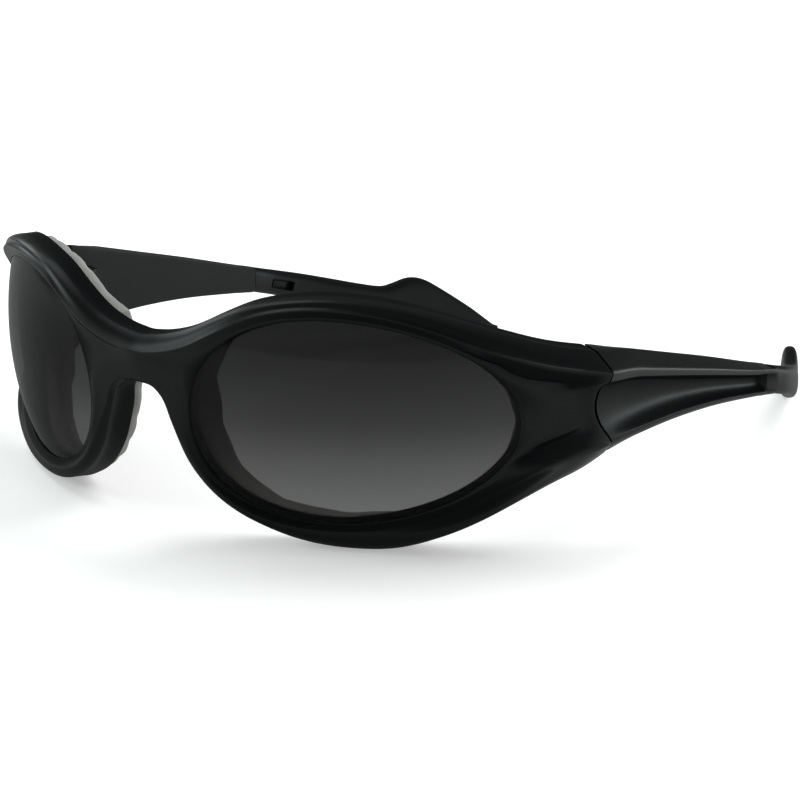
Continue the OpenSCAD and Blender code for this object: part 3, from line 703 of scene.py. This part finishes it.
# --------------------------------------------------------------------- arms
# Share of the arm's length; heights of the top, of the upper band's two edges, of the
# lower band's top and of the bottom; outer face, depth of the groove, inner face.
ARM = [
    [0.09, 8.4, 4.8, 3.3, -6.6, -8.6, 6.2, 2.0, 1.1],
    [0.33, 4.8, 1.9, 0.6, -6.6, -8.3, 5.9, 2.2, 1.1],
    [0.59, 0.9, -1.3, -2.5, -7.5, -8.9, 5.4, 2.0, 1.0],
    [0.845, -3.2, -4.6, -5.6, -9.3, -10.4, 4.8, 1.6, 0.9],
    [0.912, -4.2, -5.3, -6.2, -9.9, -10.9, 4.7, 1.5, 0.9]]
GROOVE_END = [0.925, -4.4, -5.5, -6.3, -10.0, -11.0, 4.6, 0.0, 0.9]
ARM_LAST = [1, -5.6, -6.4, -7.1, -10.8, -11.7, 4.4, 0.0, 0.8]
ARM_FALL = (GROOVE_END[1] - ARM_LAST[1]) / (ARM_LEN * (ARM_LAST[0] - GROOVE_END[0]))
ARM_SIDE = 12
ARM_POINTS = 2 * ARM_SIDE


def arm_ring(r):
    """The arm's section: twelve points down its outer face, twelve up its inner face."""
    run, top, crest, lip, ledge, low, out, groove, inside = r
    y, z, x = hinge[1] + run * ARM_LEN - TIP_GAP / 2, hinge[2], hinge[0] + out
    floor_x, inner_x = x - groove, hinge[0] + inside
    upper_band = [(x - 2.6, top), (x - 1.1, mix(top, crest, 0.6)), (x, crest), (x - 0.1, lip)]
    groove_floor = [(floor_x + 0.15 * groove, lip - 0.4 * groove),
                    (floor_x - 0.1 * groove, mix(lip, ledge, 0.4)),
                    (floor_x, mix(lip, ledge, 0.65)), (mix(floor_x, x, 0.3), mix(lip, ledge, 0.85))]
    lower_band = [(x - 0.1, ledge), (x, mix(ledge, low, 0.4)),
                  (x - 0.5, mix(ledge, low, 0.85)), (x - 1.4, low)]
    outer = upper_band + groove_floor + lower_band
    inner_top, inner_low = top - 0.3, mix(low, ledge, 0.6)
    heights = [mix(inner_low, inner_top, (pz - low) / (top - low)) for _, pz in outer]
    return ([vec(px, y, z + pz) for px, pz in outer]
            + [vec(inner_x, y, z + pz) for pz in reversed(heights)])


def slanted(ring, x, w):
    """The ring turned to the slant of the seam between arm and tip."""
    return [p + TIP_SLANT * ((p[0] - x) / w - 1) * vec(0, 1, -ARM_FALL) for p in ring]


def seam_ring():
    """The arm's first section, which follows the end of the front across the seam's gap."""
    top, low = rim_points[row_at(SEAM_TOP)], rim_points[row_at(SEAM_LOW)]
    mid = [rim_points[row_at(t)] for t in (377, 373, 368, 362, 356, 350)]
    fronts = [OUTER_EDGE, OUTER_EDGE - 2, RIDGE]
    outer = [top[j] for j in fronts] + [s[RIDGE] for s in mid] + [low[j] for j in reversed(fronts)]
    backs = [s[BACK_EDGE] for s in (top, *mid, low)]
    inner = [backs[0], mix(backs[0], backs[1], 0.35), mix(backs[0], backs[1], 0.7), *backs[1:-1],
             mix(backs[-2], backs[-1], 0.3), mix(backs[-2], backs[-1], 0.65), backs[-1]]
    gap = vec(0, SEAM_GAP, 0)
    return [p + gap for p in outer] + [p + gap for p in reversed(inner)]


def ladder(base, n):
    """Quads that close a ring of n points, rung by rung."""
    return [(base + i, base + i + 1, base + n - 2 - i, base + n - 1 - i) for i in range(n // 2 - 1)]


ARM_SHARP = {0: 0.4, 2: 0.35, 3: 0.75, 4: 0.45, 8: 0.45, 11: 0.4, 12: 0.6, 23: 0.6}
# The arm's gloss round its section: painted highlights on the bands, painted shade in the groove.
ARM_PAINTED_GLOSS = [0.8, 0.8, 0.8, 0.6, -0.9, -0.4, -0.1, -0.2, -0.4, 0.5, 0.7, 0.5] + [0.3] * ARM_SIDE
END_SHARP, GROOVE_SHARP = 0.8, 0.6
rings = [seam_ring()] + [arm_ring(r) for r in smooth(ARM, 5)] + [arm_ring(GROOVE_END)]
rings.append(slanted(arm_ring(ARM_LAST), hinge[0] + ARM_LAST[8], ARM_LAST[6] - ARM_LAST[8]))
pts, quads = loft(rings, False)
last = len(rings) - 1
sharp = {key(i * ARM_POINTS + j, (i + 1) * ARM_POINTS + j): v
         for i in range(last) for j, v in ARM_SHARP.items()}
for i in (0, last):
    base = i * ARM_POINTS
    quads += ladder(base, ARM_POINTS)
    sharp.update({key(base + j, base + (j + 1) % ARM_POINTS): END_SHARP for j in range(ARM_POINTS)})
for i in (last - 2, last - 1):
    base = i * ARM_POINTS
    sharp.update({key(base + j, base + j + 1): GROOVE_SHARP for j in range(3, 8)})
arm = rounded(piece("arm_left", pts, quads, sharp, ARM_PAINTED_GLOSS * len(rings)))

# Each ear gets a round pocket in the arm and a way into it from the front.
for z in ear_feet:
    low, high = z - EAR_GAP, z + EAR_H + EAR_GAP
    arm = cut(arm, barrel(BARREL_R + SEAM_GAP, low, high, at_hinge),
              block((-4, -9, low), (BARREL_R + 0.1, 0, high), at_hinge))
half = KNUCKLE_H / 2
eye = circle(BARREL_R, -half) + circle(BARREL_R, half)
root = [(x, y, z) for x in (2.2, 3.2) for y in (-0.5, 4.5) for z in (-half, half)]
knuckle = wrapped("knuckle", eye + root, at_hinge, HINGE_BEVEL)

# The tang follows the tip's own bend and fall over its length.
tip_line = [r[0] * TIP_LEN for r in tip_steps]
tang_z = (TIP[0][2] + TIP[0][3]) / 2
fall = tang_z - np.interp(TANG_LEN, tip_line, [(r[2] + r[3]) / 2 for r in tip_steps])
bend = np.interp(TANG_LEN, tip_line, [r[1] for r in tip_steps])
at_tang = (Matrix.Translation(Vector((arm_end + vec(0, 0, tang_z) + STAND) * MM))
           @ (Matrix.Rotation(0.8 * math.atan(bend / TANG_LEN), 4, "Z")
              @ Matrix.Rotation(-math.atan(fall / TANG_LEN), 4, "X")))
half_t, half_h, half_snap = TANG_T / 2, TANG_H / 2, SNAP_H / 2
tang = block((-half_t, -2, -half_h), (half_t, TANG_LEN, half_h), at_tang, 0.25)
snap = block((-half_t - 0.3, SNAP_Y + 0.6, -half_snap + 0.3),
             (-half_t + 0.4, SNAP_Y + SNAP_W - 1.4, half_snap - 0.3), at_tang, 0.2)
arm_left = shade(join(arm, knuckle, tang, snap))
arm_left.name = "arm_left"
arm_right = mirrored(arm_left, "arm_right")

# ---------------------------------------------------------- ear tips, pieces
thick = TIP[0][4]
rings = [slanted(tip_ring(0), arm_end[0] - thick / 2, thick)]
rings += [tip_ring(i) for i in range(1, len(tip_steps))]
pts, quads = loft(rings, False)
for base in (0, (len(rings) - 1) * TIP_POINTS):
    quads += ladder(base, TIP_POINTS)
sharp = {key(i, (i + 1) % TIP_POINTS): 0.85 for i in range(TIP_POINTS)}
tip = rounded(piece("ear_tip_left", pts, quads, sharp))
tip = cut(tip, block((-half_t - TANG_GAP, -4, -half_h - TANG_GAP),
                     (half_t + TANG_GAP, TANG_LEN + TANG_GAP, half_h + TANG_GAP), at_tang),
          block((-4, SNAP_Y, -half_snap), (-half_t + 0.2, SNAP_Y + SNAP_W, half_snap), at_tang, 0.3))
tip_left = shade(tip)
tip_right = mirrored(tip_left, "ear_tip_right")

# ------------------------------------------------------------------- screws
shank = barrel(SCREW_R, -ear_top + 0.2, ear_top - 0.6, at_hinge, 0.1)
head = cut(barrel(SCREW_HEAD_R, ear_top - SCREW_HEAD_H + 0.05, ear_top - 0.1, at_hinge, 0.12),
           block((-2, -0.15, ear_top - 0.45), (2, 0.15, ear_top + 1), at_hinge))
screw_left = shade(join(head, shank))
screw_left.name = "hinge_bolt_left"
screw_right = mirrored(screw_left, "hinge_bolt_right")


# ---------------------------------------------------------------- materials
class Tap:
    """A node's output that can be used in plain sums."""

    def __init__(self, finish, socket):
        self.finish, self.socket = finish, socket

    def _sum(self, operation, a, b):
        return self.finish.add("ShaderNodeMath", {0: a, 1: b}, operation=operation)

    def __add__(self, other): return self._sum("ADD", self, other)
    def __radd__(self, other): return self._sum("ADD", other, self)
    def __sub__(self, other): return self._sum("SUBTRACT", self, other)
    def __rsub__(self, other): return self._sum("SUBTRACT", other, self)
    def __mul__(self, other): return self._sum("MULTIPLY", self, other)
    def __rmul__(self, other): return self._sum("MULTIPLY", other, self)
    def __truediv__(self, other): return self._sum("DIVIDE", self, other)
    def __pow__(self, other): return self._sum("POWER", self, other)
    def most(self, other): return self._sum("MAXIMUM", self, other)
    def least(self, other): return self._sum("MINIMUM", self, other)


class Finish:
    """A material's nodes."""

    def __init__(self, name, owner=None):
        if owner is None:
            owner = bpy.data.materials.new(name)
        owner.use_nodes = True
        self.owner, self.tree = owner, owner.node_tree
        self.tree.nodes.clear()

    def feed(self, socket, value):
        if isinstance(value, Tap):
            self.tree.links.new(value.socket, socket)
        else:
            socket.default_value = value

    def add(self, kind, inputs=None, out=0, stops=None, **settings):
        node = self.tree.nodes.new(kind)
        for name, value in settings.items():
            setattr(node, name, value)
        if stops:
            ramp = node.color_ramp
            while len(ramp.elements) < len(stops):
                ramp.elements.new(0.5)
            for element, (at, colour) in zip(ramp.elements, stops):
                element.position, element.color = at, (*colour, 1)
        for name, value in (inputs or {}).items():
            self.feed(node.inputs[name], value)
        return Tap(self, node.outputs[out]) if node.outputs else None

    def place(self):
        return self.add("ShaderNodeTexCoord", out="Object")

    def noise(self, scale, detail=2.0, rough=0.5, place=None):
        return self.add("ShaderNodeTexNoise", {"Vector": place or self.place(), "Scale": scale,
                                               "Detail": detail, "Roughness": rough})

    def blend(self, factor, a, b):
        return self.add("ShaderNodeMix", {"Factor": factor, 6: a, 7: b}, out=2, data_type="RGBA")

    def surface(self, inputs):
        shader = self.add("ShaderNodeBsdfPrincipled", inputs)
        self.add("ShaderNodeOutputMaterial", {"Surface": shader})
        return self.owner


def grey(level):
    return (level, level, level)


def moulded(name, dark, light, rough, grain, coat):
    """Satin moulded plastic: cloudy colour, spark-eroded grain, and a gloss that paints shade
    into recesses and highlights onto crests. The gloss is a thin coat over a body without a sheen of
    its own."""
    f = Finish(name)
    clouds = f.noise(90, 3, 0.55)
    fine = f.noise(5200, 2, 0.6)
    streaks = f.noise(900, 4, 0.7)
    # The coat's gloss follows the painted shade and highlights of each point.
    painted_gloss_map = f.add("ShaderNodeAttribute", out="Fac", attribute_name="painted_gloss", attribute_type="GEOMETRY")
    return f.surface({
        "Base Color": f.blend(clouds, (*dark, 1), (*light, 1)),
        "Roughness": rough + (clouds - 0.5) * 0.10 + (streaks - 0.5) * 0.08,
        "Normal": f.add("ShaderNodeBump", {"Height": fine, "Strength": grain, "Distance": 0.00004}),
        "IOR": 1.45, "Specular IOR Level": 0.0,
        "Coat Weight": (coat * (1 + 0.85 * painted_gloss_map) + (clouds - 0.5) * 0.02).most(0.0),
        "Coat Roughness": rough, "Coat IOR": 1.45})


def smoke_tint():
    """Grey graded lens: dense at the top, clearer at the bottom, denser where seen edge on."""
    f = Finish("smoke_lens_tint")
    height = f.add("ShaderNodeSeparateXYZ", {"Vector": f.place()}, out=2)
    low, high = (STAND[2] - 24) * MM, (STAND[2] + 16) * MM
    level = ((height - low) / (high - low)).most(0.0).least(1.0)
    edge_on = f.add("ShaderNodeLayerWeight", {"Blend": 0.5}, out="Facing")
    dense = f.add("ShaderNodeValToRGB", {"Fac": level}, stops=[
        (0.0, grey(0.63)), (0.15, grey(0.67)), (0.32, grey(0.73)),
        (0.5, grey(0.82)), (0.72, grey(0.88)), (1.0, grey(0.91))])
    return f.surface({
        "Base Color": (0.004, 0.004, 0.0041, 1), "Roughness": 0.06 + (f.noise(60, 2) - 0.5) * 0.02,
        "Alpha": 1 - (1 - dense) * (1 - edge_on ** 3.0), "IOR": 1.5, "Specular IOR Level": 0.0,
        "Coat Weight": 0.14, "Coat Roughness": 0.06, "Coat IOR": 1.5})


def foam_grey():
    """Open-celled foam: small pores with painted shade in them, cloudy warm grey."""
    f = Finish("open_cell_foam")
    pores = f.add("ShaderNodeTexVoronoi", {"Vector": f.place(), "Scale": 4800.0, "Randomness": 1.0},
                  out="Distance")
    tiny = f.noise(8000, 2, 0.6)
    clouds = f.noise(160, 3, 0.6)
    colour = f.blend(clouds, (0.30, 0.298, 0.282, 1), (0.38, 0.377, 0.358, 1))
    return f.surface({
        # The pores' darker colour is painted shade in the pits.
        "Base Color": f.blend((1 - pores * 1.4).most(0.0) * 0.35, colour, (0.15, 0.148, 0.14, 1)),
        "Roughness": 0.92 + (tiny - 0.5) * 0.1, "IOR": 1.3,
        "Normal": f.add("ShaderNodeBump", {"Height": pores * 0.7 + tiny * 0.5, "Strength": 0.3,
                                           "Distance": 0.00012})})


def bright_steel():
    """Turned steel: fine rings round the screw's axis."""
    f = Finish("turned_steel")
    place = f.add("ShaderNodeMapping", {"Vector": f.place(), "Scale": (1, 1, 12)})
    rings = f.noise(2500, 3, 0.6, place)
    return f.surface({
        "Base Color": f.blend(rings, (0.42, 0.43, 0.44, 1), (0.58, 0.585, 0.59, 1)),
        "Metallic": 1.0, "Roughness": 0.3 + (rings - 0.5) * 0.15,
        "Normal": f.add("ShaderNodeBump", {"Height": rings, "Strength": 0.2, "Distance": 0.00003})})


frame_black = moulded("satin_frame_black", (0.0028, 0.0036, 0.0038), (0.0044, 0.0056, 0.0059),
                      rough=0.34, grain=0.25, coat=0.27)
tip_black = moulded("soft_tip_black", (0.0036, 0.0046, 0.0048), (0.0056, 0.0068, 0.0071),
                    rough=0.42, grain=0.35, coat=0.36)
lens_tint, foam_finish, steel = smoke_tint(), foam_grey(), bright_steel()

PIECES = [
    (front, "front", frame_black, "frame_plastic", ["frame_front"]),
    (lens_left, "front", lens_tint, "lens_tint", ["lens_left"]),
    (lens_right, "front", lens_tint, "lens_tint", ["lens_right"]),
    (foam_left, "front", foam_finish, "foam", ["foam_left"]),
    (foam_right, "front", foam_finish, "foam", ["foam_right"]),
    (arm_left, "left_temple", frame_black, "frame_plastic", ["temple_left"]),
    (arm_right, "right_temple", frame_black, "frame_plastic", ["temple_right"]),
    (tip_left, "left_temple", tip_black, "tip_plastic", ["temple_tip_left"]),
    (tip_right, "right_temple", tip_black, "tip_plastic", ["temple_tip_right"]),
    (screw_left, "front", steel, "screw_steel", ["hinge_screw_left"]),
    (screw_right, "front", steel, "screw_steel", ["hinge_screw_right"])]
for ob, body, finish, slot, nodes in PIECES:
    ob.data.materials.clear()
    ob.data.materials.append(finish)
    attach(ob, body)
    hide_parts(*nodes)

# ------------------------------------------------------ floor, lights, camera
bpy.ops.object.select_all(action="DESELECT")
bpy.ops.mesh.primitive_plane_add(size=8, location=(0, 0, 0))
floor = bpy.context.active_object
floor.name = "pale_floor"
f = Finish(floor.name)
spot = f.add("ShaderNodeVectorMath", {0: f.place()}, out="Value", operation="LENGTH")
camera_ray, glossy_ray, clear_ray = [f.add("ShaderNodeLightPath", out=name) for name in (
    "Is Camera Ray", "Is Glossy Ray", "Is Transmission Ray")]
seen = camera_ray.most(glossy_ray).most(clear_ray)
floor.data.materials.append(f.surface({
    "Base Color": (0.8, 0.8, 0.8, 1), "Roughness": 0.9, "Emission Color": (1, 1, 1, 1),
    "Emission Strength": (0.28 + (spot * 1.3).least(0.5)) * seen, "Specular IOR Level": 0.1}))

world = bpy.data.worlds.new("studio")
bpy.context.scene.world = world
f = Finish("studio", world)
sky = f.add("ShaderNodeBackground", {"Color": (1, 1, 1, 1), "Strength": 0.25})
f.add("ShaderNodeOutputWorld", {"Surface": sky})


def facing(at, to):
    """The turn that points a lamp at something."""
    return (Vector(to) - Vector(at)).to_track_quat("-Z", "Y").to_euler()


WHITE, COOL = (1, 1, 1), (0.9, 1.0, 0.98)
BRIDGE_SPOT, LENS_SPOT = (0, -0.03, 0.02), (0, -0.02, 0.03)
SIDE_SPOT, HINGE_SPOT = (0.04, 0, 0.03), (0.04, 0.02, 0.03)
for name, at, to, size, power, tint, glossy in (
        ("rear_fill", (0.12, 0.52, 0.62), BRIDGE_SPOT, (0.7, 0.6), 5.4, WHITE, False),
        ("left_front", (-0.70, -0.47, 0.35), LENS_SPOT, (0.36, 0.26), 2.6, COOL, True),
        ("left_rear", (-0.82, 0.08, 0.40), LENS_SPOT, (0.40, 0.30), 2.0, COOL, True),
        ("left_top", (-0.50, -0.05, 0.85), LENS_SPOT, (0.5, 0.4), 1.8, COOL, True),
        ("right_strip", (0.88, 0.24, 0.065), SIDE_SPOT, (0.9, 0.11), 1.6, COOL, True),
        ("right_rear_strip", (0.47, 0.80, 0.06), HINGE_SPOT, (0.6, 0.10), 1.9, COOL, True)):
    data = bpy.data.lights.new(name, "AREA")
    data.shape, data.size, data.size_y = "RECTANGLE", size[0], size[1]
    data.energy, data.color = power, tint
    lamp = bpy.data.objects.new(name, data)
    bpy.context.scene.collection.objects.link(lamp)
    lamp.location, lamp.rotation_euler = at, facing(at, to)
    lamp.visible_camera, lamp.visible_glossy = False, glossy

# The camera was fitted to the photograph: its place, its three turns and its lens.
FOCAL_LENGTH, PICTURE_WIDTH, SENSOR = 2914.444, 800, 36
eye = Vector(vec(366.6, -435.4, 139.5) + STAND) * MM
az, el, roll = math.radians(39.315), math.radians(15.484), math.radians(-0.056)
right = Vector((math.cos(az), math.sin(az), 0))
behind = Vector((math.sin(az) * math.cos(el), -math.cos(az) * math.cos(el), math.sin(el)))
up = behind.cross(right)
side = right * math.cos(roll) + up * math.sin(roll)
over = up * math.cos(roll) - right * math.sin(roll)
camera_data = bpy.data.cameras.new("camera")
camera_data.sensor_width, camera_data.lens = SENSOR, FOCAL_LENGTH / PICTURE_WIDTH * SENSOR
camera_data.clip_start, camera_data.clip_end = 0.01, 50
camera = bpy.data.objects.new("camera", camera_data)
bpy.context.scene.collection.objects.link(camera)
camera.matrix_world = Matrix((
    (side.x, over.x, behind.x, eye.x), (side.y, over.y, behind.y, eye.y),
    (side.z, over.z, behind.z, eye.z), (0, 0, 0, 1)))
bpy.context.scene.camera = camera
bpy.context.scene.view_settings.view_transform = "Standard"
